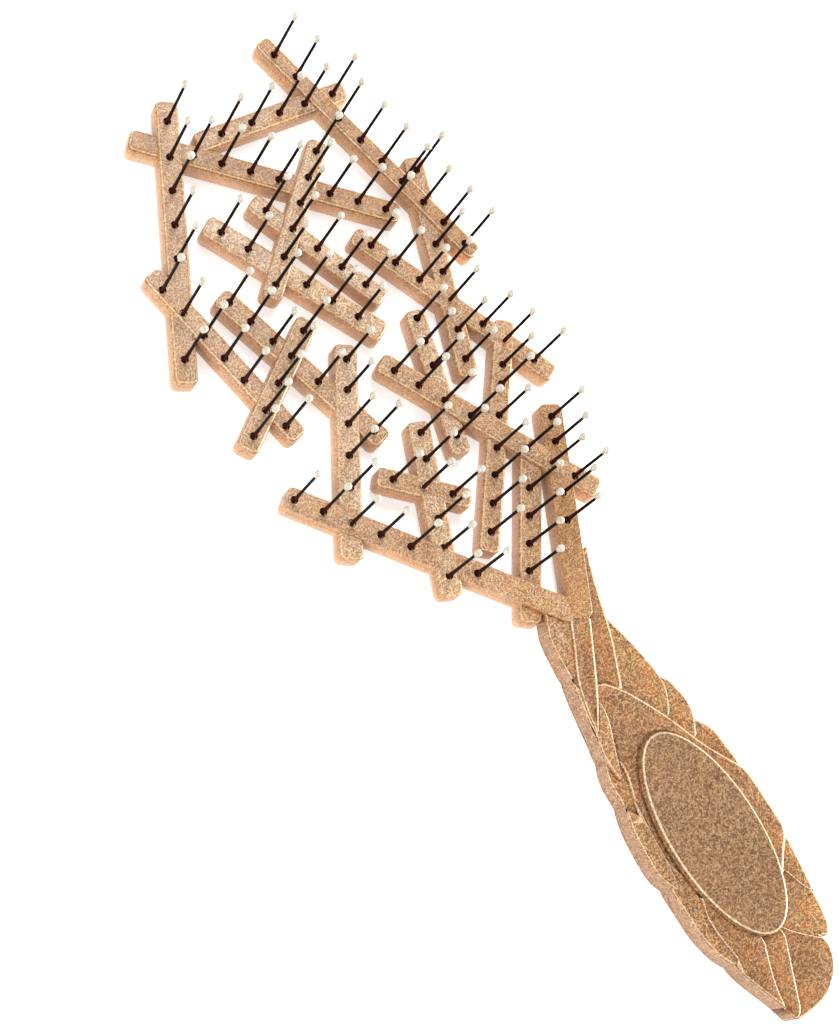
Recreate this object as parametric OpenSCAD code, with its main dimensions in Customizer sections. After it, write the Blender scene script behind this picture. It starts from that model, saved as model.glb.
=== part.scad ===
// Detangling brush with a head of crossing flat twigs, round-tipped pins and a bundled grip.
// The brush lies on its back. Y runs along it with the head at +Y, and the pins point up +Z.

/* [Head] */
// Length of the twig head, from the neck to the crown
head_l = 138.5; // [110:0.5:180]
// Width of the twig head over its twig ends
head_w = 77; // [60:0.5:100]
// Width of a plain twig
twig_w = 4.7; // [4:0.1:6.4]
// Thickness of every twig
twig_t = 5.2; // [4.8:0.1:7]
// Rounding of the twig corners seen from above
twig_corner_r = 1.2; // [0.6:0.1:1.8]
// Rise from one layer of twigs to the next
layer_rise = 0.8; // [0.3:0.1:1.2]

/* [Pins] */
// Radius of a pin's shaft
pin_r = 0.42; // [0.3:0.01:0.6]
// Radius of a pin's thick root
pin_root_r = 0.7; // [0.62:0.01:0.9]
// Radius of a pin's foot, where it leaves its twig
pin_foot_r = 0.6; // [0.5:0.01:0.65]
// Height over which the foot thins to the shaft
pin_foot_h = 5.5; // [2:0.1:8]
// Height of a pin's top, the middle of its ball, above the face of its twig
pin_rise = 17.2; // [10:0.1:24]
// Depth of the hole that holds a pin's root
pin_hole_depth = 2.2; // [1.6:0.1:2.4]
// Depth of the open recess above a pin's root
pin_recess = 0.35; // [0.1:0.05:0.6]
// Radius of the ball on a pin's tip
ball_r = 0.85; // [0.7:0.01:1.2]
// Radius of the ball's collar
ball_collar_r = 0.6; // [0.55:0.01:0.65]
// Depth to which a pin stands in its ball and collar
ball_socket = 1.5; // [1:0.05:2.5]

/* [Grip] */
// Length of the grip from the neck to its end
grip_l = 90.6; // [75:0.5:120]
// Width of the grip over its strands
grip_w = 31.2; // [26:0.2:40]
// Distance of the grip's middle line from the head's middle line
grip_side = 8.5; // [4:0.1:12]
// Height of the lowest strands
strand_h = 4.5; // [4.2:0.1:6]
// Rise from one layer of strands to the next
strand_rise = 0.5; // [0.2:0.1:1]

/* [Name oval] */
// Width of the bare oval on the grip
oval_w = 20.8; // [16:0.2:24]
// Length of the bare oval, as a share of the grip's length
oval_length_share = 0.514; // [0.4:0.002:0.6]
// Height of the oval's face above the ground
oval_top = 7.2; // [6.6:0.1:9]
// Thickness of the oval pad
oval_t = 3.2; // [2.6:0.1:4]
// Distance of the oval's middle from the neck, as a share of the grip's length
oval_place_share = 0.556; // [0.48:0.002:0.64]

/* [Fits] */
// Gap round a pin's root in its hole, and round a pin's top in its ball
pin_clearance = 0.03; // [0.01:0.01:0.08]

/* [Hidden] */
fine = 48;
small_fine = 24;
over = 1;
crown_share = 0.145;
side_share = 0.0033;
corner_shares = [0.25, 0.75];
// The neck and the head's middle line, set so that the whole brush lies centred on the origin
y_neck = (grip_l - head_l - crown_share*twig_w)/2;
x_mid = side_share*head_w;
oval_l = oval_length_share*grip_l;
oval_place = oval_place_share*grip_l;

// Each twig as two ends, its width share, its layer and its pins
// x is a share of half the head's width and y of its length, and pins are shares along the twig.
// A last value sets a twig's pins off its middle line, as a share of half its width.
// A twig lies over every twig that stands before it in this list.
twig_shares = [
    ["s", [ 0.415, 0.525], [ 0.195, 0.300], 0.94, 0, [0.060, 0.220, 0.390, 0.870]],
    ["k", [ 0.544, 0.251], [-0.003, 0.035], 1.05, 0, [0.214, 0.379, 0.541, 0.700], -0.15],
    ["g", [ 0.355, 0.670], [ 0.925, 0.335], 0.92, 0, [0.085, 0.205, 0.325, 0.640, 0.895]],
    ["n", [-0.500, 0.680], [-0.150, 0.375], 1.04, 0, [0.055, 0.185, 0.320, 0.595, 0.935]],
    ["b", [-0.460, 0.950], [ 0.660, 0.665], 1.04, 0, [0.230, 0.335, 0.440, 0.545, 0.735, 0.840, 0.945]],
    ["c", [-0.140, 0.900], [ 0.795, 0.875], 1.00, 0, [0.160, 0.360, 0.545, 0.715, 0.905]],
    ["t", [-0.350, 0.785], [ 0.190, 0.515], 1.08, 0, [0.085, 0.235, 0.560, 0.705, 0.850]],
    ["u", [-0.050, 0.785], [ 0.300, 0.560], 0.94, 0, [0.105, 0.490, 0.675, 0.855]],
    ["f", [ 0.920, 0.735], [ 0.480, 0.395], 0.98, 0, [0.065, 0.405, 0.530, 0.655, 0.790, 0.920]],
    ["h", [ 0.855, 0.445], [ 0.015, 0.155], 0.96, 0,
        [0.095, 0.200, 0.285, 0.420, 0.560, 0.675, 0.795, 0.915]],
    ["o", [-0.042, 0.528], [-0.673, 0.248], 1.06, 0.5, [0.075, 0.219, 0.377, 0.525, 0.673]],
    ["e", [ 0.502, 0.999], [ 0.912, 0.554], 0.84, 1,
        [0.066, 0.167, 0.363, 0.465, 0.564, 0.658, 0.756, 0.850, 0.949], -0.12],
    ["p", [-0.805, 0.375], [ 0.236, 0.015], 1.02, 1, [0.031, 0.129, 0.227, 0.325, 0.428, 0.659]],
    ["a", [-0.168, 0.976], [-0.931, 0.585], 1.04, 1, [0.077, 0.206, 0.327, 0.448, 0.568, 0.917], -0.08],
    ["d", [ 0.475, 0.820], [-0.270, 0.639], 0.94, 1, [0.072, 0.241, 0.406, 0.570, 0.744, 0.918]],
    ["q", [ 0.068, 0.375], [-0.306, 0.128], 1.06, 1, [0.069, 0.221, 0.563, 0.729, 0.886]],
    ["j", [ 0.789, 0.299], [ 0.258, 0.004], 1.07, 1, [0.061, 0.180, 0.423, 0.552], -0.02],
    ["l", [-0.776, 0.754], [-0.561, 0.439], 0.95, 1.5, [0.096, 0.236, 0.373, 0.510, 0.643, 0.922], -0.33],
    ["i", [ 0.070, 0.480], [ 0.765, 0.150], 1.02, 1,
        [0.064, 0.175, 0.292, 0.412, 0.665, 0.780, 0.885], -0.15],
    ["r", [-0.305, 0.335], [ 0.090, 0.235], 0.96, 1, [0.165, 0.485, 0.790]],
    ["m", [-0.160, 0.585], [-0.855, 0.459], 1.00, 2, [0.095, 0.290, 0.499, 0.703, 0.897]]
];

// Outlines of the grip's strands, as shares of half its width and of its length from the neck down
// A strand lies over every strand that stands after it in this list.
band_share = [[0.38, -0.048], [0.06, 0.054], [-0.34, 0.173], [-0.66, 0.250], [-0.62, 0.203],
    [-0.49, 0.111], [-0.25, 0.042], [-0.06, -0.026], [0.10, -0.048]];
left_top_share = [[-0.26, -0.077], [0.25, -0.030], [-0.15, 0.050], [-0.49, 0.156], [-0.52, 0.101],
    [-0.47, 0.010], [-0.43, -0.017], [-0.33, -0.050]];
left_upper_share = [[-0.48, 0.093], [-0.36, 0.145], [-0.33, 0.205], [-0.50, 0.274], [-0.59, 0.315],
    [-0.70, 0.358], [-0.73, 0.289], [-0.67, 0.245], [-0.59, 0.151], [-0.52, 0.101]];
left_side_share = [[-0.61, 0.279], [-0.56, 0.332], [-0.69, 0.396], [-0.80, 0.458], [-0.86, 0.415],
    [-0.83, 0.390], [-0.83, 0.337], [-0.73, 0.289]];
left_lower_share = [[-0.75, 0.356], [-0.67, 0.392], [-0.72, 0.460], [-0.75, 0.548], [-0.82, 0.622],
    [-0.92, 0.597], [-0.98, 0.566], [-0.97, 0.503], [-0.93, 0.442], [-0.83, 0.390]];
left_end_share = [[-0.80, 0.516], [-0.70, 0.573], [-0.62, 0.653], [-0.75, 0.706], [-0.67, 0.813],
    [-0.67, 0.829], [-0.78, 0.809], [-0.87, 0.768], [-0.92, 0.716], [-0.92, 0.649], [-0.92, 0.597]];
end_middle_share = [[-0.76, 0.608], [-0.43, 0.724], [-0.16, 0.802], [-0.30, 0.853], [-0.42, 0.917],
    [-0.46, 0.966], [-0.51, 0.937], [-0.65, 0.880], [-0.75, 0.826], [-0.71, 0.712]];
middle_strand_share = [[-0.25, 0.123], [0.06, 0.180], [0.26, 0.240], [0.44, 0.303], [0.59, 0.371],
    [0.74, 0.419], [0.94, 0.476], [0.96, 0.521], [0.96, 0.600], [0.96, 0.645], [0.76, 0.679],
    [0.51, 0.732], [0.16, 0.815], [-0.19, 0.813], [-0.49, 0.743], [-0.69, 0.669], [-0.85, 0.575],
    [-0.88, 0.477], [-0.80, 0.399], [-0.69, 0.314], [-0.56, 0.242]];
neck_share = [[0.74, -0.142], [0.72, -0.120], [0.55, -0.047], [0.42, 0.031], [0.33, 0.078],
    [0.19, 0.128], [0.05, 0.184], [-0.13, 0.192], [-0.37, 0.178], [0.03, 0.049], [0.46, -0.096]];
right_top_share = [[0.38, 0.008], [0.42, 0.031], [0.49, 0.065], [0.58, 0.135], [0.63, 0.204],
    [0.60, 0.239], [0.40, 0.298], [0.21, 0.257], [-0.03, 0.189], [0.15, 0.087]];
right_upper_share = [[0.53, 0.183], [0.64, 0.204], [0.73, 0.224], [0.79, 0.286], [0.73, 0.323],
    [0.56, 0.372], [0.40, 0.338], [0.32, 0.276], [0.45, 0.223]];
right_fork_share = [[0.59, 0.295], [0.74, 0.323], [0.89, 0.360], [0.92, 0.403], [0.96, 0.481],
    [0.73, 0.450], [0.52, 0.375]];
right_side_share = [[0.85, 0.623], [0.92, 0.649], [0.87, 0.725], [0.82, 0.794], [0.72, 0.775],
    [0.61, 0.719], [0.51, 0.679]];
right_lower_share = [[0.50, 0.683], [0.70, 0.720], [0.79, 0.761], [0.83, 0.792], [0.78, 0.858],
    [0.71, 0.885], [0.60, 0.890], [0.37, 0.855], [0.16, 0.817], [0.09, 0.778]];
end_tip_share = [[-0.25, 0.761], [0.17, 0.811], [0.00, 0.873], [-0.20, 0.955], [-0.29, 0.988],
    [-0.41, 0.995], [-0.44, 0.976], [-0.51, 0.937], [-0.57, 0.882]];
right_end_share = [[0.11, 0.793], [0.37, 0.835], [0.60, 0.890], [0.57, 0.932], [0.41, 0.969],
    [0.18, 0.993], [-0.09, 0.999], [-0.41, 0.998], [-0.40, 0.976], [-0.08, 0.876]];

// Each strand as its outline and its layer
strands = [
    ["band", band_share, 3], ["left_top", left_top_share, 2],
    ["left_upper", left_upper_share, 3], ["left_side", left_side_share, 1],
    ["left_lower", left_lower_share, 3], ["left_end", left_end_share, 2],
    ["end_middle", end_middle_share, 3], ["middle", middle_strand_share, 2],
    ["neck", neck_share, 1.5], ["right_top", right_top_share, 1],
    ["right_upper", right_upper_share, 0.5], ["right_fork", right_fork_share, 0],
    ["right_side", right_side_share, 1.5], ["right_lower", right_lower_share, 1],
    ["end_tip", end_tip_share, 2], ["right_end", right_end_share, 1]
];

// Where a twig starts, ends, points and rises
function twig_row(name) = search([name], twig_shares)[0];
function head_point(s) = [x_mid + s[0]*head_w/2, y_neck + s[1]*head_l];
function twig_from(i) = head_point(twig_shares[i][1]);
function twig_to(i) = head_point(twig_shares[i][2]);
function twig_len(i) = norm(twig_to(i) - twig_from(i));
function twig_dir(i) = (twig_to(i) - twig_from(i))/twig_len(i);
function twig_turn(i) = atan2(twig_dir(i)[1], twig_dir(i)[0]);
function twig_wide(i) = twig_shares[i][3]*twig_w;
function twig_low(i) = twig_shares[i][4]*layer_rise;
function twig_high(i) = twig_low(i) + twig_t;
function lap_height(i, k) = (max(twig_low(i), twig_low(k)) + min(twig_high(i), twig_high(k)))/2;

// Whether two twigs meet, from the distance between their middle lines
function cross_z(a, b) = a[0]*b[1] - a[1]*b[0];
function clamp_share(v) = min(max(v, 0), 1);
function point_gap(p, i) = norm(p - twig_from(i)
    - (twig_to(i) - twig_from(i))*clamp_share((p - twig_from(i))*twig_dir(i)/twig_len(i)));
function side_of(p, i) = sign(cross_z(twig_dir(i), p - twig_from(i)));
function lines_cross(i, k) = side_of(twig_from(k), i) != side_of(twig_to(k), i)
    && side_of(twig_from(i), k) != side_of(twig_to(i), k);
function end_gap(i, k) = min(point_gap(twig_from(k), i), point_gap(twig_to(k), i),
    point_gap(twig_from(i), k), point_gap(twig_to(i), k));
function twigs_meet(i, k) = lines_cross(i, k) || end_gap(i, k) < (twig_wide(i) + twig_wide(k))/2 + over;

// Places of the pins
function pin_side(i) = is_undef(twig_shares[i][6]) ? 0 : twig_shares[i][6]*twig_wide(i)/2;
function pin_place(i, s) = twig_from(i) + s*(twig_to(i) - twig_from(i))
    + pin_side(i)*[-twig_dir(i)[1], twig_dir(i)[0]];

module rounded_outline(l, w, r) {
    square([l - 2*r, w], center = true);
    square([l, w - 2*r], center = true);
    for (x = [-1, 1], y = [-1, 1]) translate([x*(l/2 - r), y*(w/2 - r)]) circle(r = r, $fn = fine);
}

module twig_outline(i) {
    middle = (twig_from(i) + twig_to(i))/2;
    translate(middle) rotate(twig_turn(i)) rounded_outline(twig_len(i), twig_wide(i), twig_corner_r);
}

module twig_block(i, low, high) {
    translate([0, 0, low]) linear_extrude(height = high - low) twig_outline(i);
}

module pin_holes(i) {
    for (s = twig_shares[i][5]) translate(pin_place(i, s)) translate([0, 0, twig_high(i) - pin_hole_depth])
        cylinder(r = pin_root_r + pin_clearance, h = pin_hole_depth + over, $fn = small_fine);
}

module twig(name) {
    i = twig_row(name);
    color([0.82, 0.66, 0.48]) difference() {
        twig_block(i, twig_low(i), twig_high(i));
        for (k = [0:len(twig_shares) - 1])
            if (k < i && twigs_meet(i, k)) twig_block(k, -over, lap_height(i, k));
            else if (k > i && twigs_meet(i, k)) twig_block(k, lap_height(i, k), twig_high(k) + over);
        pin_holes(i);
    }
}

// A closed outline with its corners cut twice, which leaves soft curves
function cut_corners(p) = [for (i = [0:len(p) - 1]) for (t = corner_shares)
    p[i] + t*(p[(i + 1)%len(p)] - p[i])];
function soft_outline(p) = cut_corners(cut_corners(p));

module strand_outline(n) {
    polygon([for (s = soft_outline(strands[n][1])) [s[0]*grip_w/2, -s[1]*grip_l]]);
}

module oval_outline() {
    scale([1, oval_l/oval_w]) circle(d = oval_w, $fn = fine);
}

module in_grip() {
    translate([x_mid + grip_side, y_neck, 0]) children();
}

module strand(name) {
    n = search([name], strands)[0];
    color([0.78, 0.6, 0.42]) difference() {
        in_grip() linear_extrude(height = strand_h + strands[n][2]*strand_rise) difference() {
            strand_outline(n);
            for (k = [0:len(strands) - 1]) if (k < n) strand_outline(k);
        }
        for (t = ["j", "p", "k"]) twig_block(twig_row(t), -over, oval_top);
        in_grip() translate([0, -oval_place, oval_top - oval_t])
            linear_extrude(height = oval_t + over) oval_outline();
    }
}

module name_oval() {
    color([0.86, 0.7, 0.5]) in_grip() translate([0, -oval_place, oval_top - oval_t])
        linear_extrude(height = oval_t) oval_outline();
}

module each_pin() {
    for (i = [0:len(twig_shares) - 1]) for (s = twig_shares[i][5])
        translate([pin_place(i, s)[0], pin_place(i, s)[1], twig_high(i)]) children();
}

module pins() {
    color([0.1, 0.07, 0.06]) each_pin() {
        translate([0, 0, -pin_hole_depth])
            cylinder(r = pin_root_r, h = pin_hole_depth - pin_recess, $fn = small_fine);
        translate([0, 0, -pin_recess])
            cylinder(r1 = pin_foot_r, r2 = pin_r, h = pin_foot_h, $fn = small_fine);
        translate([0, 0, -pin_recess]) cylinder(r = pin_r, h = pin_recess + pin_rise, $fn = small_fine);
    }
}

module tips() {
    color([0.93, 0.89, 0.8]) each_pin() translate([0, 0, pin_rise]) difference() {
        union() {
            sphere(r = ball_r, $fn = small_fine);
            translate([0, 0, -ball_socket]) cylinder(r = ball_collar_r, h = ball_socket, $fn = small_fine);
        }
        translate([0, 0, -ball_socket - over])
            cylinder(r = pin_r + pin_clearance, h = ball_socket + over, $fn = small_fine);
    }
}

twig("a");  // twig_a
twig("b");  // twig_b
twig("c");  // twig_c
twig("d");  // twig_d
twig("e");  // twig_e
twig("f");  // twig_f
twig("g");  // twig_g
twig("h");  // twig_h
twig("i");  // twig_i
twig("j");  // twig_j
twig("k");  // twig_k
twig("l");  // twig_l
twig("m");  // twig_m
twig("n");  // twig_n
twig("o");  // twig_o
twig("p");  // twig_p
twig("q");  // twig_q
twig("r");  // twig_r
twig("s");  // twig_s
twig("t");  // twig_t
twig("u");  // twig_u
strand("band");  // strand_band
strand("left_top");  // strand_left_top
strand("left_upper");  // strand_left_upper
strand("left_side");  // strand_left_side
strand("left_lower");  // strand_left_lower
strand("left_end");  // strand_left_end
strand("end_middle");  // strand_end_middle
strand("middle");  // strand_middle
strand("neck");  // strand_neck
strand("right_top");  // strand_right_top
strand("right_upper");  // strand_right_upper
strand("right_fork");  // strand_right_fork
strand("right_side");  // strand_right_side
strand("right_lower");  // strand_right_lower
strand("end_tip");  // strand_end_tip
strand("right_end");  // strand_right_end
name_oval();
pins();
tips();
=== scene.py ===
import math

import bmesh
import bpy
from mathutils import Matrix, Vector
from mathutils.bvhtree import BVHTree


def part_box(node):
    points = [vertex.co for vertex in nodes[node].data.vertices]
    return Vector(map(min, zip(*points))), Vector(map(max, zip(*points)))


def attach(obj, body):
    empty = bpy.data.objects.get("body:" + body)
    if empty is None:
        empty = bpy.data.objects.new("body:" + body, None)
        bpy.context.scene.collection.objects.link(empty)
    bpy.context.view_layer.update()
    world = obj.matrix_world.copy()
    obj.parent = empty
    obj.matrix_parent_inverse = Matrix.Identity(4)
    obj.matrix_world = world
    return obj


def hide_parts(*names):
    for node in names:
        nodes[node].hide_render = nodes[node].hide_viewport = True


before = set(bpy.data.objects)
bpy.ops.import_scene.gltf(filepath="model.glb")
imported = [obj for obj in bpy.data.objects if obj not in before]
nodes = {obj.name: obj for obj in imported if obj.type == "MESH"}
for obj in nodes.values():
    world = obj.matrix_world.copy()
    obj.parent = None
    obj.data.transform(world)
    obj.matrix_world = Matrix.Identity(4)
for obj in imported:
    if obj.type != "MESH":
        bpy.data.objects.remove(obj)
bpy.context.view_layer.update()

# A detangling brush lying on its back, all lengths in metres
mm = 0.001
hair = 0.01*mm           # heights closer than this count as one
seam = 0.002*mm          # loose corners closer than this are joined
print("scene: frame loaded,", len(nodes), "nodes")


# Small helpers for working as by hand

def pick(piece):
    bpy.ops.object.select_all(action="DESELECT")
    piece.select_set(True)
    bpy.context.view_layer.objects.active = piece


def startEditing(piece, kind, choice="DESELECT"):
    pick(piece)
    bpy.ops.object.mode_set(mode="EDIT")
    bpy.ops.mesh.select_mode(type=kind)
    bpy.ops.mesh.select_all(action=choice)


def chooseParts(piece, kind, wanted):
    # Opens a piece for editing with only the wanted corners, edges or faces selected, and counts them
    startEditing(piece, kind)
    shape = bmesh.from_edit_mesh(piece.data)
    parts = {"VERT": shape.verts, "EDGE": shape.edges, "FACE": shape.faces}[kind]
    found = [part for part in parts if wanted(part)]
    for part in found:
        part.select_set(True)
    bmesh.update_edit_mesh(piece.data)
    return len(found)


def stopEditing():
    bpy.ops.object.mode_set(mode="OBJECT")


def roundEdges(piece, wanted, size, steps):
    if chooseParts(piece, "EDGE", wanted):
        bpy.ops.mesh.bevel(offset=size, segments=steps, profile=0.5, affect="EDGES", clamp_overlap=True)
    stopEditing()


def insetFaces(piece, wanted, sizes):
    chooseParts(piece, "FACE", wanted)
    for size in sizes:
        bpy.ops.mesh.inset(thickness=size, use_even_offset=False)
    stopEditing()


def moveCorners(piece, wanted, rise):
    if chooseParts(piece, "VERT", wanted):
        bpy.ops.transform.translate(value=(0, 0, rise))
    stopEditing()


def applyPlace(piece):
    pick(piece)
    bpy.ops.object.transform_apply(location=True, rotation=True, scale=True)


def smoothFaces(piece, angle, flatTops=True):
    pick(piece)
    bpy.ops.object.shade_smooth_by_angle(angle=math.radians(angle))
    if flatTops:
        level = piece.modifiers.new("levelFaces", "WEIGHTED_NORMAL")
        level.keep_sharp = True
        level.weight = 100
        bpy.ops.object.modifier_apply(modifier=level.name)


def joinPieces(name, parts):
    bpy.ops.object.select_all(action="DESELECT")
    for part in parts:
        part.select_set(True)
    bpy.context.view_layer.objects.active = parts[0]
    if len(parts) > 1:
        bpy.ops.object.join()
    piece = bpy.context.view_layer.objects.active
    piece.name = piece.data.name = name
    return piece


lean = {
    # The upright share of a face's normal tells sides, walls and rims from tops
    "side": 0.1,             # straight sides lie below this
    "wall": 0.35,            # walls lie below this
    # Faces in the rim span get the painted highlight material
    "rim": (0.60, 0.95),     # rims lie between these
    "level": 0.99,           # level faces lie above this
}


def isSide(face):
    return abs(face.normal.z) < lean["side"]


def facesUp(face):
    return face.normal.z > lean["level"]


def facesDown(face):
    return face.normal.z < -lean["level"]


def finishPiece(piece, node, materials):
    # The first material goes on the top, a second on the upright walls and a third, which paints a highlight,
    # along the rims
    piece.data.materials.clear()
    for material in materials:
        piece.data.materials.append(material)
    if len(materials) > 1:
        steep, level = lean["rim"]
        for face in piece.data.polygons:
            if abs(face.normal.z) < lean["wall"]:
                face.material_index = 1
            else:
                face.material_index = 2 if steep < face.normal.z < level else 0
    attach(piece, "root")
    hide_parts(node)


def meshCopy(node):
    # A merged copy of a CAD node's loose triangles
    piece = bpy.data.objects.new(node + "Copy", nodes[node].data.copy())
    piece.data.transform(nodes[node].matrix_world)
    bpy.context.scene.collection.objects.link(piece)
    startEditing(piece, "VERT", "SELECT")
    bpy.ops.mesh.remove_doubles(threshold=seam)
    bpy.ops.mesh.normals_make_consistent(inside=False)
    stopEditing()
    return piece


# Helpers for the materials

def newMaterial(name):
    material = bpy.data.materials.new(name)
    material.use_nodes = True
    tree = material.node_tree
    return material, tree, tree.nodes["Principled BSDF"]


def addNode(tree, kind, **values):
    node = tree.nodes.new(kind)
    for key, value in values.items():
        setattr(node, key, value)
    return node


def feed(tree, socket, value):
    # Links an output to a socket, or sets the socket's own value
    if isinstance(value, bpy.types.NodeSocket):
        tree.links.new(value, socket)
    elif socket.type == "RGBA" and len(value) == 3:
        socket.default_value = (*value, 1)
    else:
        socket.default_value = value


def ramp(tree, source, stops):
    node = addNode(tree, "ShaderNodeValToRGB")
    for element, (place, colour) in zip(node.color_ramp.elements, stops):
        element.position = place
        element.color = (*colour, 1)
    feed(tree, node.inputs["Fac"], source)
    return node.outputs["Color"]


def mixColours(tree, share, first, second, blend="MIX"):
    node = addNode(tree, "ShaderNodeMix", data_type="RGBA", blend_type=blend)
    for socket, value in ((node.inputs[0], share), (node.inputs[6], first), (node.inputs[7], second)):
        feed(tree, socket, value)
    return node.outputs[2]


def vectorMath(tree, operation, *values):
    node = addNode(tree, "ShaderNodeVectorMath", operation=operation)
    for socket, value in zip(node.inputs, values):
        feed(tree, socket, value)
    return node.outputs["Value" if operation in ("DOT_PRODUCT", "LENGTH") else "Vector"]


def scalarMath(tree, operation, *values):
    node = addNode(tree, "ShaderNodeMath", operation=operation)
    for socket, value in zip(node.inputs, values):
        feed(tree, socket, value)
    return node.outputs[0]


def fade(tree, value, start, end, low=0, high=1):
    node = addNode(tree, "ShaderNodeMapRange")
    for name, number in (("From Min", start), ("From Max", end), ("To Min", low), ("To Max", high)):
        node.inputs[name].default_value = number
    feed(tree, node.inputs["Value"], value)
    return node.outputs["Result"]


def noiseNode(tree, coords, scale, detail, shift=0):
    noise = addNode(tree, "ShaderNodeTexNoise")
    noise.inputs["Scale"].default_value = scale
    noise.inputs["Detail"].default_value = detail
    place = vectorMath(tree, "ADD", coords, (shift, shift, shift)) if shift else coords
    feed(tree, noise.inputs["Vector"], place)
    return noise


def noiseAt(tree, coords, scale, detail=2, shift=0):
    return noiseNode(tree, coords, scale, detail, shift).outputs["Fac"]


def heightOf(tree, coords):
    parts = addNode(tree, "ShaderNodeSeparateXYZ")
    feed(tree, parts.inputs["Vector"], coords)
    return parts.outputs["Z"]


def greyOf(tree, value):
    node = addNode(tree, "ShaderNodeCombineXYZ")
    for socket in node.inputs:
        feed(tree, socket, value)
    return node.outputs[0]


def centredOf(tree, colour):
    # A colour from 0 to 1 as a direction round zero
    return vectorMath(tree, "SUBTRACT", colour, (0.5, 0.5, 0.5))


def glowUnder(shader, share, tone, depth):
    # Lets some light in under the surface
    shader.inputs["Subsurface Weight"].default_value = share
    shader.inputs["Subsurface Radius"].default_value = tone
    shader.inputs["Subsurface Scale"].default_value = depth


# Straw plastic: a brown ground with clouds, patches, fibres and flecks

patches = (
    # scale of the noise, shift, where a patch starts and is full, strength, colour
    (95, 4.7, 0.44, 0.66, 0.70, "pink"),
    (150, 2.9, 0.50, 0.66, 0.55, "warm"),
    (330, 7.7, 0.54, 0.68, 0.50, "warm"),
)

fibres = (
    # cell size, half thickness and reach in mm, strength, seed, colour
    (1.00, 0.055, 0.90, 0.60, 11, "pale"),
    (1.40, 0.060, 1.40, 0.65, 27, "pale"),
    (2.00, 0.060, 2.00, 0.65, 41, "pale"),
    (1.10, 0.060, 1.00, 0.50, 19, "dark"),
    (1.70, 0.060, 1.60, 0.50, 33, "dark"),
)

flecks = (
    # scale of the noise, shift, where a fleck starts and is full, strength, colour
    (2000, 1.3, 0.55, 0.64, 0.50, "pale"),
    (3000, 6.1, 0.56, 0.63, 0.60, "pale"),
    (2300, 3.9, 0.56, 0.65, 0.60, "dark"),
)

fibreShape = {
    "seed": (0.013, 0.007, 0.011),      # metres that one step of the seed moves the cells by
    "tilt": (1, 1, 0.35),               # the plates stand more upright than they lie
    "soft": 1.6,                        # times the half thickness, where a fibre has faded out
    "ends": (0.45, 0.62),               # shares of the reach between which its ends fade out
}

straw = {
    "cloud": (420, 4, 0.36, 0.58),      # scale and detail of the noise, where it is deep, where base
    "swirl": (260, 0.9*mm),             # scale of the noise that bends the fibres, and how far
    "speck": (3300, 9.1, 0.3, 0.7),     # scale and shift of the noise, its ends
    "speckTone": (0.78, 1.22),          # what the colour is multiplied by at these ends
    # Painted light: walls are coloured paler towards the floor, standing in for light thrown up from the pale
    # floor
    "foot": (3.9*mm, 1.0*mm, 0.85),     # where walls start to pale, where they are palest, strength
    "grain": 1500,                      # scale of the noise that roughens the surface
    "fibreRise": 0.5,                   # how much the fibres stand out beside the grain
    "bump": (0.25, 0.1*mm),             # strength and height of grain and fibres
    "shine": 0.45,
    "glow": (0.06, (0.9, 0.5, 0.25), 1*mm),   # light under the surface: share, colour and depth
}

topLook = {
    "base": (0.355, 0.172, 0.067),
    "deep": (0.250, 0.106, 0.036),
    "pink": (0.430, 0.238, 0.128),
    "pale": (0.660, 0.450, 0.245),
    "dark": (0.130, 0.050, 0.016),
    "warm": (0.400, 0.168, 0.042),
    "gloss": 0.38,
    "thread": 1,      # times the thickness of the fibres
}

wallToneAndFloorLightLook = {
    "base": (0.440, 0.200, 0.070),
    "deep": (0.340, 0.140, 0.045),
    "pink": (0.500, 0.270, 0.130),
    "pale": (0.600, 0.370, 0.190),
    "dark": (0.220, 0.085, 0.030),
    "warm": (0.560, 0.205, 0.045),
    "gloss": 0.42,
    "thread": 1,
    # The foot colour is painted light from the floor
    "foot": (0.690, 0.440, 0.270),   # paler towards the floor
}

# Painted highlight: the rim faces are coloured paler, standing in for light caught along the rounded edges
paintedHighlightLook = {
    "base": (0.620, 0.430, 0.270),
    "deep": (0.520, 0.330, 0.190),
    "pink": (0.680, 0.500, 0.350),
    "pale": (0.800, 0.640, 0.440),
    "dark": (0.380, 0.200, 0.100),
    "warm": (0.690, 0.420, 0.170),
    "gloss": 0.30,
    "thread": 1,
}


def tinted(look, tint):
    return {key: tuple(c*t for c, t in zip(value, tint)) if isinstance(value, tuple) else value
            for key, value in look.items()}


# A softer painted highlight for the rims of the twigs
softPaintedHighlightLook = tinted(paintedHighlightLook, (0.95, 0.90, 0.84))
plainLook = tinted(topLook, (0.95, 0.96, 0.99))
# Paler tops are partly the twigs' own tone and partly painted sheen; gold tops are partly own tone and partly
# painted shade
paleToneAndSheenLook = tinted(topLook, (1.14, 1.30, 1.57))
goldToneAndShadeLook = tinted(topLook, (0.82, 0.72, 0.56))
gripTopLook = topLook | {"warm": (0.700, 0.270, 0.070), "pale": (0.820, 0.580, 0.330), "thread": 1.5}
# The gold, deep and left strand tops are partly own tone and partly painted light and shade from how each
# strand's tilt catches the light: golden on the right, darker on the deep strands, paler on the left
goldStrandToneAndLightLook = tinted(gripTopLook, (0.63, 0.55, 0.42))
gripLook = tinted(gripTopLook, (0.58, 0.48, 0.385))
deepStrandToneAndShadeLook = tinted(gripTopLook, (0.53, 0.43, 0.31))
leftStrandToneAndLightLook = tinted(gripTopLook, (0.78, 0.71, 0.60))
ovalLook = tinted(gripTopLook, (0.49, 0.43, 0.38)) | {"warm": (0.250, 0.115, 0.040)}
# Painted light: the oval's wall is coloured paler than its top to cancel the shade it stands in
ovalWallPaintedLightLook = tinted(gripTopLook, (0.80, 0.70, 0.60))
gripWallLook = tinted(topLook, (0.82, 0.76, 0.74))


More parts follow.
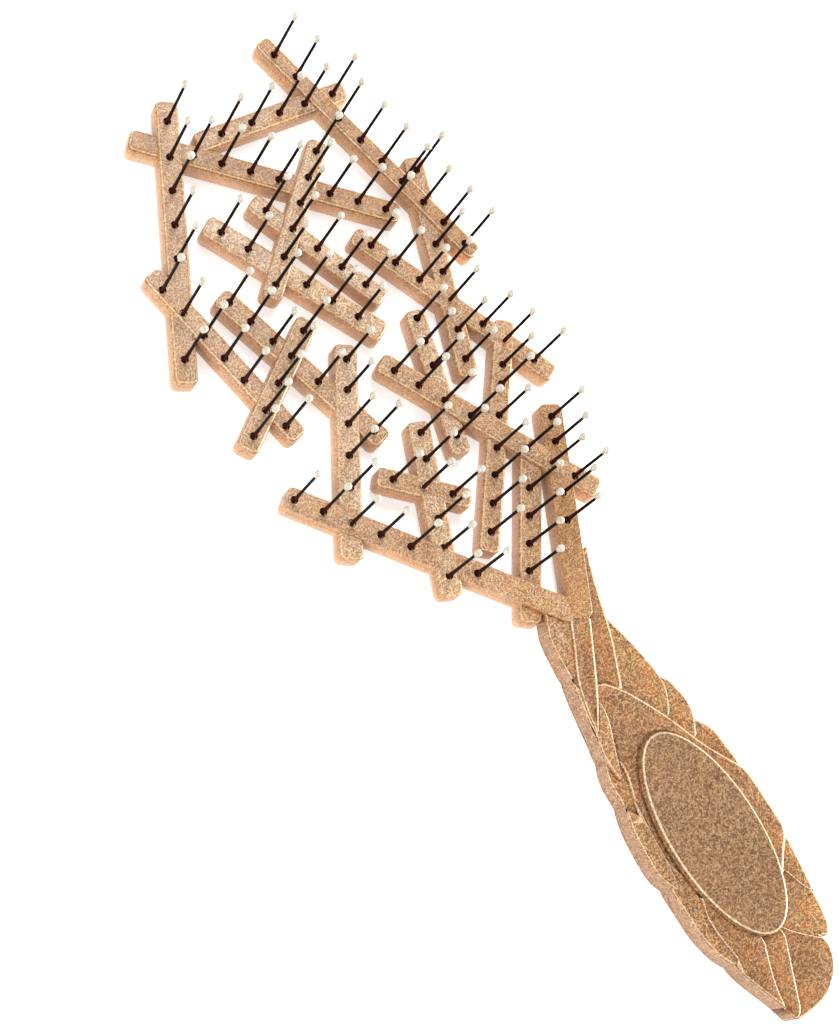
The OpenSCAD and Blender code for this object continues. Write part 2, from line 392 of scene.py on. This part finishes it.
def fibreMask(tree, coords, size, half, reach, strength, seed):
    # In each cell stands a thin plate at a random tilt, which shows as a thread where it meets the surface
    moved = vectorMath(tree, "ADD", coords, tuple(seed*far for far in fibreShape["seed"]))
    cells = addNode(tree, "ShaderNodeTexVoronoi")
    cells.inputs["Scale"].default_value = 1/(size*mm)
    feed(tree, cells.inputs["Vector"], moved)
    local = vectorMath(tree, "SUBTRACT", moved, cells.outputs["Position"])
    centred = centredOf(tree, cells.outputs["Color"])
    tilt = vectorMath(tree, "NORMALIZE", vectorMath(tree, "MULTIPLY", centred, fibreShape["tilt"]))
    away = scalarMath(tree, "ABSOLUTE", vectorMath(tree, "DOT_PRODUCT", local, tilt))
    thread = fade(tree, away, half*mm, half*fibreShape["soft"]*mm, strength, 0)
    start, end = fibreShape["ends"]
    inside = fade(tree, vectorMath(tree, "LENGTH", local), reach*start*mm, reach*end*mm, 1, 0)
    return scalarMath(tree, "MULTIPLY", thread, inside)


def bendCoords(tree, coords):
    scale, far = straw["swirl"]
    noise = noiseNode(tree, coords, scale, detail=1)
    swirl = vectorMath(tree, "SCALE", centredOf(tree, noise.outputs["Color"]))
    swirl.node.inputs["Scale"].default_value = far
    return vectorMath(tree, "ADD", coords, swirl)


def strawMaterial(name, look):
    material, tree, shader = newMaterial(name)
    coords = addNode(tree, "ShaderNodeTexCoord").outputs["Object"]
    scale, detail, deepAt, baseAt = straw["cloud"]
    stops = [(deepAt, look["deep"]), (baseAt, look["base"])]
    colour = ramp(tree, noiseAt(tree, coords, scale, detail), stops)
    for scale, shift, start, full, strength, tone in patches:
        patch = fade(tree, noiseAt(tree, coords, scale, shift=shift), start, full, 0, strength)
        colour = mixColours(tree, patch, colour, look[tone])
    bent = bendCoords(tree, coords)
    threads = None
    for size, half, reach, strength, seed, tone in fibres:
        mask = fibreMask(tree, bent, size, half*look["thread"], reach, strength, seed)
        colour = mixColours(tree, mask, colour, look[tone])
        if tone == "pale":
            threads = mask if threads is None else scalarMath(tree, "MAXIMUM", threads, mask)
    for scale, shift, start, full, strength, tone in flecks:
        fleck = noiseAt(tree, coords, scale, detail=1, shift=shift)
        mask = fade(tree, fleck, start, full, 0, strength)
        colour = mixColours(tree, mask, colour, look[tone])
    # Painted light: the wall pales towards the floor as if lit from the pale floor
    if "foot" in look:
        start, full, strength = straw["foot"]
        low = fade(tree, heightOf(tree, coords), start, full, 0, strength)
        colour = mixColours(tree, low, colour, look["foot"])
    scale, shift, start, full = straw["speck"]
    speck = noiseAt(tree, coords, scale, detail=1, shift=shift)
    speck = fade(tree, speck, start, full, *straw["speckTone"])
    colour = mixColours(tree, 1, colour, greyOf(tree, speck), "MULTIPLY")
    feed(tree, shader.inputs["Base Color"], colour)
    raised = scalarMath(tree, "MULTIPLY", threads, straw["fibreRise"])
    bump = addNode(tree, "ShaderNodeBump")
    bump.inputs["Strength"].default_value, bump.inputs["Distance"].default_value = straw["bump"]
    feed(tree, bump.inputs["Height"], scalarMath(tree, "ADD", noiseAt(tree, coords, straw["grain"]), raised))
    feed(tree, shader.inputs["Normal"], bump.outputs["Normal"])
    shader.inputs["Roughness"].default_value = look["gloss"]
    shader.inputs["Specular IOR Level"].default_value = straw["shine"]
    glowUnder(shader, *straw["glow"])
    return material


# Nylon of the pins, reddish at the foot and black above, and cream plastic of the beads

pinLook = {
    "foot": (0.034, 0.006, 0.004),
    "shaft": (0.004, 0.003, 0.003),
    "fade": (7.5*mm, 13*mm),     # heights between which the foot's colour gives way
    "gloss": 0.5,
    "shine": 0.03,
}


def pinMaterial():
    material, tree, shader = newMaterial("pinNylon")
    coords = addNode(tree, "ShaderNodeTexCoord").outputs["Object"]
    height = fade(tree, heightOf(tree, coords), *pinLook["fade"])
    feed(tree, shader.inputs["Base Color"], mixColours(tree, height, pinLook["foot"], pinLook["shaft"]))
    shader.inputs["Roughness"].default_value = pinLook["gloss"]
    shader.inputs["Specular IOR Level"].default_value = pinLook["shine"]
    return material


beadLook = {
    "cream": (0.80, 0.70, 0.54),
    "core": (0.95, 0.90, 0.80),
    "cloud": (700, 0.35, 0.65),  # scale of the noise, where it is cream and where core
    "gloss": 0.18,
    "clear": 0.45,               # share of the light that goes through
    "glow": (0.2, (1, 0.8, 0.5), 0.8*mm),
}


def beadMaterial():
    material, tree, shader = newMaterial("beadPlastic")
    coords = addNode(tree, "ShaderNodeTexCoord").outputs["Object"]
    scale, creamAt, coreAt = beadLook["cloud"]
    stops = [(creamAt, beadLook["cream"]), (coreAt, beadLook["core"])]
    feed(tree, shader.inputs["Base Color"], ramp(tree, noiseAt(tree, coords, scale), stops))
    shader.inputs["Roughness"].default_value = beadLook["gloss"]
    glowUnder(shader, *beadLook["glow"])
    shader.inputs["Transmission Weight"].default_value = beadLook["clear"]
    return material


# Each kind of straw piece has a material for its top, its walls and its rims; the rims' material is a painted
# highlight, paler than the top
wall = strawMaterial("strawWall", wallToneAndFloorLightLook)
# The rim material is a painted highlight, not the straw's own colour
rim = strawMaterial("strawRim", paintedHighlightLook)
softPaintedHighlight = strawMaterial("strawSoftRim", softPaintedHighlightLook)
gripWall = strawMaterial("strawGripWall", gripWallLook)
plainStraw = (strawMaterial("strawPlain", plainLook), wall, softPaintedHighlight)
# The pale tops carry painted sheen and the gold tops painted shade, beside their own tone
paleToneAndSheenStraw = (strawMaterial("strawPale", paleToneAndSheenLook), wall, softPaintedHighlight)
goldToneAndShadeTwig = (strawMaterial("strawGold", goldToneAndShadeLook), wall, softPaintedHighlight)
# Gold, deep and left strands carry painted light and shade beside their own tone
goldStrandToneAndLight = (strawMaterial("strawGoldStrand", goldStrandToneAndLightLook), gripWall, rim)
gripStrand = (strawMaterial("strawGrip", gripLook), gripWall, rim)
deepStrandToneAndShade = (strawMaterial("strawDeepStrand", deepStrandToneAndShadeLook), gripWall, rim)
leftStrandToneAndLight = (strawMaterial("strawLeftStrand", leftStrandToneAndLightLook), gripWall, rim)
# The oval's wall material is painted lighter to cancel its shade
ovalStraw = (strawMaterial("strawOval", ovalLook), strawMaterial("strawOvalWall", ovalWallPaintedLightLook), rim)
nylon = pinMaterial()
cream = beadMaterial()
print("scene: materials made")


# What the CAD nodes tell: the bars, the pins' places, and what stands where

def barOf(node):
    # Middle, turn, length, width and height span of a straight bar, from the tightest box round it
    points = [nodes[node].matrix_world @ v.co for v in nodes[node].data.vertices]
    best = None
    quarters = 4             # the box turns by a quarter of a degree at a time
    for step in range(180*quarters):
        turn = math.radians(step/quarters)
        along = Vector((math.cos(turn), math.sin(turn), 0))
        across = Vector((-math.sin(turn), math.cos(turn), 0))
        spans = [(min(p.dot(d) for p in points), max(p.dot(d) for p in points)) for d in (along, across)]
        length, width = (high - low for low, high in spans)
        if length > width and (best is None or length*width < best["area"]):
            middle = along*sum(spans[0])/2 + across*sum(spans[1])/2
            best = {"area": length*width, "turn": turn, "length": length, "width": width, "middle": middle}
    best["low"] = min(p.z for p in points)
    best["high"] = max(p.z for p in points)
    return best


def islandsOf(node):
    # Boxes round the separate solids of a node
    piece = meshCopy(node)
    shape = bmesh.new()
    shape.from_mesh(piece.data)
    boxes, seen = [], set()
    for first in shape.verts:
        if first in seen:
            continue
        seen.add(first)
        group, todo = [], [first]
        while todo:
            vert = todo.pop()
            group.append(vert.co.copy())
            for edge in vert.link_edges:
                other = edge.other_vert(vert)
                if other not in seen:
                    seen.add(other)
                    todo.append(other)
        boxes.append(tuple(Vector(end(p[i] for p in group) for i in range(3)) for end in (min, max)))
    shape.free()
    bpy.data.objects.remove(piece)
    return boxes


def treeOf(*starts):
    # What stands on the floor, from the nodes of some kinds, to look down on
    corners, faces, names = [], [], []
    for node in nodes:
        if node.startswith(starts):
            mesh, place = nodes[node].data, nodes[node].matrix_world
            first = len(corners)
            corners += [place @ v.co for v in mesh.vertices]
            faces += [[first + index for index in face.vertices] for face in mesh.polygons]
            names += [node]*len(mesh.polygons)
    return BVHTree.FromPolygons(corners, faces), names


def lookDown(treeAndNames, place):
    # Height and name of what stands at a place
    tree, names = treeAndNames
    above = 100*mm
    hit = tree.ray_cast(Vector((place.x, place.y, above)), Vector((0, 0, -1)), 2*above)
    return (hit[0].z, names[hit[2]]) if hit[0] else (0, None)


pinShape = {
    "holeDepth": 2.2*mm,     # from the twig's face to the foot of the root
    # The cup lines each hole with dark nylon, a painted shade inside the hole
    "recess": 0.9*mm,        # depth of the open cup round the foot
    "cupR": 0.84*mm,
    "cupWall": 0.06*mm,
    "footR": 0.47*mm,
    "footH": 5.5*mm,
    "waist": (0.4, 0.93),    # share of the foot's height where it is this share of its width
    "shaftR": 0.34*mm,
    "topR": 0.32*mm,
    "sides": 12,
    "cutterSides": 20,       # of the holes in the twigs
    "smooth": 50,            # degrees up to which an edge is shaded smooth
}

twigTree = treeOf("twig_", "name_oval")
strandTree = treeOf("strand_")
pinBoxes = islandsOf("pins")
pinPlaces = [Vector(((low.x + high.x)/2, (low.y + high.y)/2, low.z + pinShape["holeDepth"]))
             for low, high in pinBoxes]
pinRise = pinBoxes[0][1].z - pinPlaces[0].z
print("scene: found", len(pinPlaces), "pins")


# The twigs of the head: each is a bar that is measured from its CAD node

twigShape = {
    "cornerR": 1.3*mm,       # rounding seen from above
    "rimR": 0.85*mm,         # rounding of the upper rim
    "footRimR": 0.5*mm,      # rounding of the lower rim
    "steps": (5, 4, 2),      # faces across each of these roundings
    "lift": 0.03*mm,         # later twigs stand prouder, up to this, so that flush faces never share a plane
    "short": 0.02*mm,        # taken off the length, so that no end stands out past its node
    "outside": 0.5*mm,       # how far outside an edge its neighbour is looked for
    "sameLevel": 0.15*mm,    # a neighbour that comes this near the top keeps the edge sharp
    "pinLevel": 0.1*mm,      # a pin stands on the twig whose top is this near its hole's rim
    # The pale and gold tops are partly own tone and partly painted light: sheen on the pale ones, shade on
    # the gold ones
    "pale": "soudqt",        # twigs with a lighter top
    "gold": "ejb",           # twigs with a darker, more golden top
    # Twig j gets a painted highlight along its right rim only
    "bright": "j",           # with a bright line along the right rim only
    "brightLean": (0.4, 0.995),
    "smooth": 40,            # degrees up to which an edge is shaded smooth
}
twigOrder = "skgnbctufhoepadqjlirm"   # a later twig lies over an earlier one


def makeTwig(letter, bar, lift):
    length, width = bar["length"] - twigShape["short"], bar["width"]
    high = bar["high"] + lift

    def upright(edge):
        return abs(edge.verts[0].co.z - edge.verts[1].co.z) > hair

    def onRim(edge):
        # An end that runs into a strand as high as the twig stays sharp
        sides = [face.normal for face in edge.link_faces if isSide(face)]
        if not sides or min(v.co.z for v in edge.verts) < high - hair:
            return False
        outside = (edge.verts[0].co + edge.verts[1].co)/2 + sides[0]*twigShape["outside"]
        return lookDown(strandTree, outside)[0] < bar["high"] - twigShape["sameLevel"]

    def onFootRim(edge):
        return max(v.co.z for v in edge.verts) < bar["low"] + hair

    place = (bar["middle"].x, bar["middle"].y, (bar["low"] + high)/2)
    bpy.ops.mesh.primitive_cube_add(size=1, location=place, rotation=(0, 0, bar["turn"]))
    piece = bpy.context.active_object
    piece.name = piece.data.name = "twig" + letter.upper()
    piece.scale = (length, width, high - bar["low"])
    applyPlace(piece)
    cornerSteps, rimSteps, footSteps = twigShape["steps"]
    roundEdges(piece, upright, twigShape["cornerR"], cornerSteps)
    roundEdges(piece, onRim, twigShape["rimR"], rimSteps)
    roundEdges(piece, onFootRim, twigShape["footRimR"], footSteps)
    return piece


def cutRecesses(piece, places, high):
    cutters = []
    for place in places:
        bpy.ops.mesh.primitive_cylinder_add(vertices=pinShape["cutterSides"], radius=pinShape["cupR"],
                                            depth=2*pinShape["recess"], location=(place.x, place.y, high))
        cutters.append(bpy.context.active_object)
    cutter = joinPieces("recessCutter", cutters)
    applyPlace(cutter)
    pick(piece)
    cut = piece.modifiers.new("recesses", "BOOLEAN")
    cut.operation = "DIFFERENCE"
    cut.solver = "EXACT"
    cut.object = cutter
    bpy.ops.object.modifier_apply(modifier=cut.name)
    bpy.data.objects.remove(cutter)


def liesOn(bar, place):
    away = place - bar["middle"]
    along = away.x*math.cos(bar["turn"]) + away.y*math.sin(bar["turn"])
    across = away.y*math.cos(bar["turn"]) - away.x*math.sin(bar["turn"])
    inside = abs(along) < bar["length"]/2 and abs(across) < bar["width"]/2
    return inside and abs(place.z - bar["high"]) < twigShape["pinLevel"]


def twigLooks(letter):
    if letter in twigShape["pale"]:
        return paleToneAndSheenStraw
    return goldToneAndShadeTwig if letter in twigShape["gold"] else plainStraw


# Paints a highlight on the right-facing rim faces with the paler rim material
def paintRightHighlight(twig):
    twig.data.materials[2] = rim
    steep, level = twigShape["brightLean"]
    for face in twig.data.polygons:
        if steep < face.normal.z < level:
            face.material_index = 2 if face.normal.x > 0 else 0


bars = {letter: barOf("twig_" + letter) for letter in twigOrder}
pinsOn = {letter: [] for letter in twigOrder}
for place in pinPlaces:
    fits = [letter for letter in twigOrder if liesOn(bars[letter], place)]
    if fits:
        pinsOn[fits[-1]].append(place)
for count, letter in enumerate(twigOrder):
    lift = twigShape["lift"]*count/len(twigOrder)
    twig = makeTwig(letter, bars[letter], lift)
    if pinsOn[letter]:
        cutRecesses(twig, pinsOn[letter], bars[letter]["high"] + lift)
    smoothFaces(twig, twigShape["smooth"])
    finishPiece(twig, "twig_" + letter, twigLooks(letter))
    if letter in twigShape["bright"]:
        paintRightHighlight(twig)
print("scene: twigs made, for", sum(len(places) for places in pinsOn.values()), "pins")


# The strands of the grip: each takes its outline from its CAD node and gets a rounded rim

strandShape = {
    # The rounded rim as rings: how far in each stands from the outline, and how far below the top
    "rings": ((0, 0.60*mm), (0.12*mm, 0.30*mm), (0.28*mm, 0.10*mm), (0.60*mm, 0)),
    "ringSlack": 0.02*mm,    # a ring's corners may stand this much nearer to the outline
    # The pale line is a painted highlight along the free rim
    "pale": (0.22*mm, 0.54*mm),     # the pale line along the rim
    "thin": 0.6,             # share of the rim on the slim strands
    "footRim": 0.3*mm,
    "shortest": 0.2*mm,      # closer corners of an outline are joined first
    "flat": 2,               # degrees within which neighbouring triangles make one face
    "leastStep": 0.15*mm,    # a rim goes down by no more than the step to its neighbour, but by this at least
    "outside": 0.3*mm,       # how far outside an edge its neighbour is looked for
    "sameLevel": 0.1*mm,     # strands this near in height count as level
    "twigLevel": 0.15*mm,    # a twig or the oval that comes this near the top hides the rim
    "topLean": 0.3,          # faces that look up more than this are coloured as top or rim
    "evenLean": 0.5,         # many-sided faces that look up more than this are cut into triangles
    "turnedLean": -0.1,      # top faces that look down more than this are turned over
    "topZone": 0.9*mm,       # and lie no deeper than this
    "tuck": 0.02*mm,         # turned faces are moved this far under the others
    "smooth": 34,
    # These strands' tones are partly their own and partly painted light and shade
    "gold": ("strand_right_top", "strand_right_upper", "strand_right_fork", "strand_right_side",
             "strand_right_lower"),
    "deep": ("strand_neck", "strand_end_tip", "strand_right_end"),
    "slim": ("strand_end_middle", "strand_right_top", "strand_right_upper", "strand_right_side",
             "strand_right_end", "strand_end_tip"),
}


def awayFrom(place, stretches):
    # Distance seen from above from a place to the nearest of some straight stretches, and the step down there
    best = (1, 0)
    for start, end, step in stretches:
        run = end - start
        share = max(0, min(1, (place.xy - start).dot(run)/max(run.length_squared, 1e-12)))
        best = min(best, ((place.xy - start - run*share).length, step))
    return best


def freeOutline(piece, node, high):
    # The stretches of the top's outline that no higher or earlier strand, no twig and no oval stands against
    order = list(nodes)
    shape = bmesh.new()
    shape.from_mesh(piece.data)
    found = []
    for edge in shape.edges:
        sides = [face.normal for face in edge.link_faces if isSide(face)]
        if not sides or min(v.co.z for v in edge.verts) <= high - hair:
            continue
        outside = (edge.verts[0].co + edge.verts[1].co)/2 + sides[0]*strandShape["outside"]
        level, other = lookDown(strandTree, outside)
        higher = level > high + strandShape["sameLevel"]
        earlier = level > high - strandShape["sameLevel"] and order.index(other) < order.index(node)
        if not higher and not earlier and lookDown(twigTree, outside)[0] < high - strandShape["twigLevel"]:
            step = min(strandShape["rings"][0][1], max(high - level, strandShape["leastStep"]))
            start, end = (v.co.xy.copy() for v in edge.verts)
            found.append((start, end, round(step, 5)))   # the step to a hundredth of a millimetre
    shape.free()
    return found


def lowerRim(piece, outline, high, thin):
    # Insets the top in rings, and lets each ring down where the outline is free
    rings = [(near*thin, drop*thin) for near, drop in strandShape["rings"]]
    insetFaces(piece, facesUp, [far[0] - near[0] for near, far in zip(rings, rings[1:])])
    tops = {v.index: awayFrom(v.co, outline) for v in piece.data.vertices if v.co.z > high - hair}
    slack, fullDrop = strandShape["ringSlack"], strandShape["rings"][0][1]
    for (near, drop), (far, _) in zip(rings, rings[1:]):
        for step in sorted({stretch[2] for stretch in outline}):
            ring = {index for index, (away, down) in tops.items()
                    if down == step and near - slack <= away < far - slack}
            moveCorners(piece, lambda v: v.index in ring, -drop*(step/fullDrop))


def roundFoot(piece):
    low = {vert.index for vert in piece.data.vertices if vert.co.z < hair}
    insetFaces(piece, facesDown, [strandShape["footRim"]])
    moveCorners(piece, lambda v: v.index in low, strandShape["footRim"])


def evenTop(piece):
    # Cuts the many-sided tops into triangles, then turns the few that face down at the narrow tips
    chooseParts(piece, "FACE", lambda f: f.normal.z > strandShape["evenLean"] and len(f.verts) > 4)
    bpy.ops.mesh.quads_convert_to_tris(quad_method="BEAUTY", ngon_method="BEAUTY")
    stopEditing()
    deep = max(v.co.z for v in piece.data.vertices) - strandShape["topZone"]
    turned = strandShape["turnedLean"]
    if chooseParts(piece, "FACE", lambda f: f.normal.z < turned and f.calc_center_median().z > deep):
        bpy.ops.mesh.flip_normals()
        bpy.ops.mesh.split()
        bpy.ops.transform.translate(value=(0, 0, -strandShape["tuck"]))
    stopEditing()


def strandLooks(node):
    if node.startswith("strand_left"):
        return leftStrandToneAndLight
    if node in strandShape["gold"]:
        return goldStrandToneAndLight
    return deepStrandToneAndShade if node in strandShape["deep"] else gripStrand


def makeStrand(node):
    piece = meshCopy(node)
    piece.name = piece.data.name = "strand" + "".join(word.capitalize() for word in node.split("_")[1:])
    startEditing(piece, "FACE", "SELECT")
    bpy.ops.mesh.dissolve_limited(angle_limit=math.radians(strandShape["flat"]))
    bpy.ops.mesh.remove_doubles(threshold=strandShape["shortest"])
    stopEditing()
    high = max(v.co.z for v in piece.data.vertices)
    outline = freeOutline(piece, node, high)
    thin = strandShape["thin"] if node.startswith("strand_left") or node in strandShape["slim"] else 1
    lowerRim(piece, outline, high, thin)
    roundFoot(piece)
    evenTop(piece)
    smoothFaces(piece, strandShape["smooth"], flatTops=False)
    finishPiece(piece, node, strandLooks(node))
    # Painted highlight: a pale line along the free outline takes the rim material
    near, far = (edge*thin for edge in strandShape["pale"])
    for face in piece.data.polygons:
        if face.normal.z > strandShape["topLean"]:
            face.material_index = 2 if near < awayFrom(face.center, outline)[0] < far else 0


for node in sorted(nodes):
    if node.startswith("strand_"):
        makeStrand(node)
print("scene: strands made")


# The bare oval on the grip

ovalShape = {
    "rimR": 0.8*mm,
    "steps": 6,
    "sides": 120,
    "topLean": 0.1,          # faces that look up more than this are coloured as top or rim
    # The pale line is a painted highlight along the oval's rim
    "pale": (0.70, 0.96),    # how level the pale line lies
    "smooth": 40,
}


def makeOval():
    low, high = (Vector(corner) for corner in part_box("name_oval"))
    bpy.ops.mesh.primitive_cylinder_add(vertices=ovalShape["sides"], radius=0.5, depth=1,
                                        location=(low + high)/2)
    piece = bpy.context.active_object
    piece.name = piece.data.name = "bareOval"
    piece.scale = high - low
    applyPlace(piece)
    roundEdges(piece, lambda e: all(v.co.z > high.z - hair for v in e.verts), ovalShape["rimR"],
               ovalShape["steps"])
    smoothFaces(piece, ovalShape["smooth"])
    finishPiece(piece, "name_oval", ovalStraw)
    # Painted highlight: the rim faces in this span take the rim material
    steep, level = ovalShape["pale"]
    for face in piece.data.polygons:
        if face.normal.z > ovalShape["topLean"]:
            face.material_index = 2 if steep < face.normal.z < level else 0


makeOval()
print("scene: oval made")


# Pins and beads: one of each is modelled at the origin and copied to every place

def ringUp(rise, widen):
    # Pulls the selected top face up and changes its width
    bpy.ops.mesh.extrude_region_move(TRANSFORM_OT_translate={"value": (0, 0, rise)})
    bpy.ops.transform.resize(value=(widen, widen, 1))


def makePin():
    shape = pinShape
    depth = shape["holeDepth"]
    bpy.ops.mesh.primitive_cylinder_add(vertices=shape["sides"], radius=shape["cupR"], depth=depth,
                                        location=(0, 0, -depth/2))
    pin = bpy.context.active_object
    applyPlace(pin)
    # The dark cup round the foot paints the shade inside the hole
    chooseParts(pin, "FACE", facesUp)
    bpy.ops.mesh.inset(thickness=shape["cupWall"])
    ringUp(-shape["recess"], 1)
    bpy.ops.mesh.inset(thickness=shape["cupR"] - shape["cupWall"] - shape["footR"])
    waistAt, waist = shape["waist"]
    ringUp(shape["recess"] + shape["footH"]*waistAt, waist)
    ringUp(shape["footH"]*(1 - waistAt), shape["shaftR"]/shape["footR"]/waist)
    ringUp(pinRise - shape["footH"], shape["topR"]/shape["shaftR"])
    stopEditing()
    return pin


beadShape = {
    "r": 0.80*mm,
    "collarH": 1.3*mm,       # from the bead's middle down
    "collarFrom": 0.8,       # share of the radius below which the bead runs into its collar
    "segments": 16,
    "rings": 10,
}


def makeBead():
    shape = beadShape
    bpy.ops.mesh.primitive_uv_sphere_add(segments=shape["segments"], ring_count=shape["rings"],
                                         radius=shape["r"], location=(0, 0, pinRise))
    bead = bpy.context.active_object
    applyPlace(bead)
    under = shape["collarFrom"]*shape["r"]
    chooseParts(bead, "FACE", lambda f: f.calc_center_median().z < pinRise - under)
    bpy.ops.mesh.extrude_region_move(TRANSFORM_OT_translate={"value": (0, 0, under - shape["collarH"])})
    stopEditing()
    return bead


def copyTo(master, name, node, material):
    parts = []
    for place in pinPlaces:
        part = master.copy()
        part.data = master.data.copy()
        bpy.context.scene.collection.objects.link(part)
        part.data.transform(Matrix.Translation(place))
        parts.append(part)
    bpy.data.objects.remove(master)
    piece = joinPieces(name, parts)
    smoothFaces(piece, pinShape["smooth"])
    finishPiece(piece, node, (material,))


copyTo(makePin(), "brushPins", "pins", nylon)
copyTo(makeBead(), "pinBeads", "tips", cream)
print("scene: pins and beads made")


# Floor, light and camera

view = {
    "place": (-199.9*mm, -24.3*mm, 425.6*mm),
    "turn": (17.31, -18.26, -34.30),
    "focalPixels": 2297.5,      # for a picture 1024 pixels high
    "pictureHeight": 1024,
    "sensor": 36,
    "clip": (0.01, 50),
}
studio = {
    "floorSize": 8,
    "floorDrop": 0.02*mm,
    "floorTone": 0.75,
    "floorGlow": 0.60,
    "floorGloss": 0.9,
    "world": 0.45,
    # Each lamp: where it stands in metres, its width and height, and how bright it makes a white card
    "key": {"place": (0.30, 0.45, 0.95), "size": (0.5, 0.5), "bright": 0.80, "tone": (1, 1, 1)},
    "rim": {"place": (1.21, -0.83, 0.20), "size": (0.5, 0.35), "bright": 2.60, "tone": (1, 0.98, 0.94)},
    "fill": {"place": (-1.13, -0.27, 0.55), "size": (0.9, 0.6), "bright": 0.85, "tone": (1, 1, 1)},
}


def makeFloor():
    bpy.ops.mesh.primitive_plane_add(size=studio["floorSize"], location=(0, 0, -studio["floorDrop"]))
    floor = bpy.context.active_object
    floor.name = "studioFloor"
    applyPlace(floor)
    material, _, shader = newMaterial("floorPaper")
    shader.inputs["Base Color"].default_value = (*[studio["floorTone"]]*3, 1)
    shader.inputs["Emission Color"].default_value = (1, 1, 1, 1)
    shader.inputs["Emission Strength"].default_value = studio["floorGlow"]
    shader.inputs["Roughness"].default_value = studio["floorGloss"]
    floor.data.materials.append(material)


def makeCamera():
    data = bpy.data.cameras.new("photoCamera")
    camera = bpy.data.objects.new("photoCamera", data)
    bpy.context.scene.collection.objects.link(camera)
    camera.location = view["place"]
    camera.rotation_euler = [math.radians(angle) for angle in view["turn"]]
    data.sensor_width = view["sensor"]
    data.lens = view["focalPixels"]*view["sensor"]/view["pictureHeight"]
    data.clip_start, data.clip_end = view["clip"]
    bpy.context.scene.camera = camera


def softBox(name):
    look = studio[name]
    data = bpy.data.lights.new(name + "Box", "AREA")
    data.shape = "RECTANGLE"
    data.size, data.size_y = look["size"]
    place = Vector(look["place"])
    data.energy = look["bright"]*math.pi**2*place.length_squared   # a lamp that moves stays as bright
    data.color = look["tone"]
    lamp = bpy.data.objects.new(name + "Box", data)
    bpy.context.scene.collection.objects.link(lamp)
    lamp.location = place
    lamp.rotation_mode = "QUATERNION"
    lamp.rotation_quaternion = (-place).to_track_quat("-Z", "Y")


def makeWorld():
    world = bpy.data.worlds.new("studioWorld")
    world.use_nodes = True
    background = world.node_tree.nodes["Background"]
    background.inputs["Color"].default_value = (1, 1, 1, 1)
    background.inputs["Strength"].default_value = studio["world"]
    bpy.context.scene.world = world


makeFloor()
makeCamera()
makeWorld()
for lampName in ("key", "rim", "fill"):
    softBox(lampName)
bpy.context.scene.view_settings.view_transform = "Standard"
print("scene: studio made")
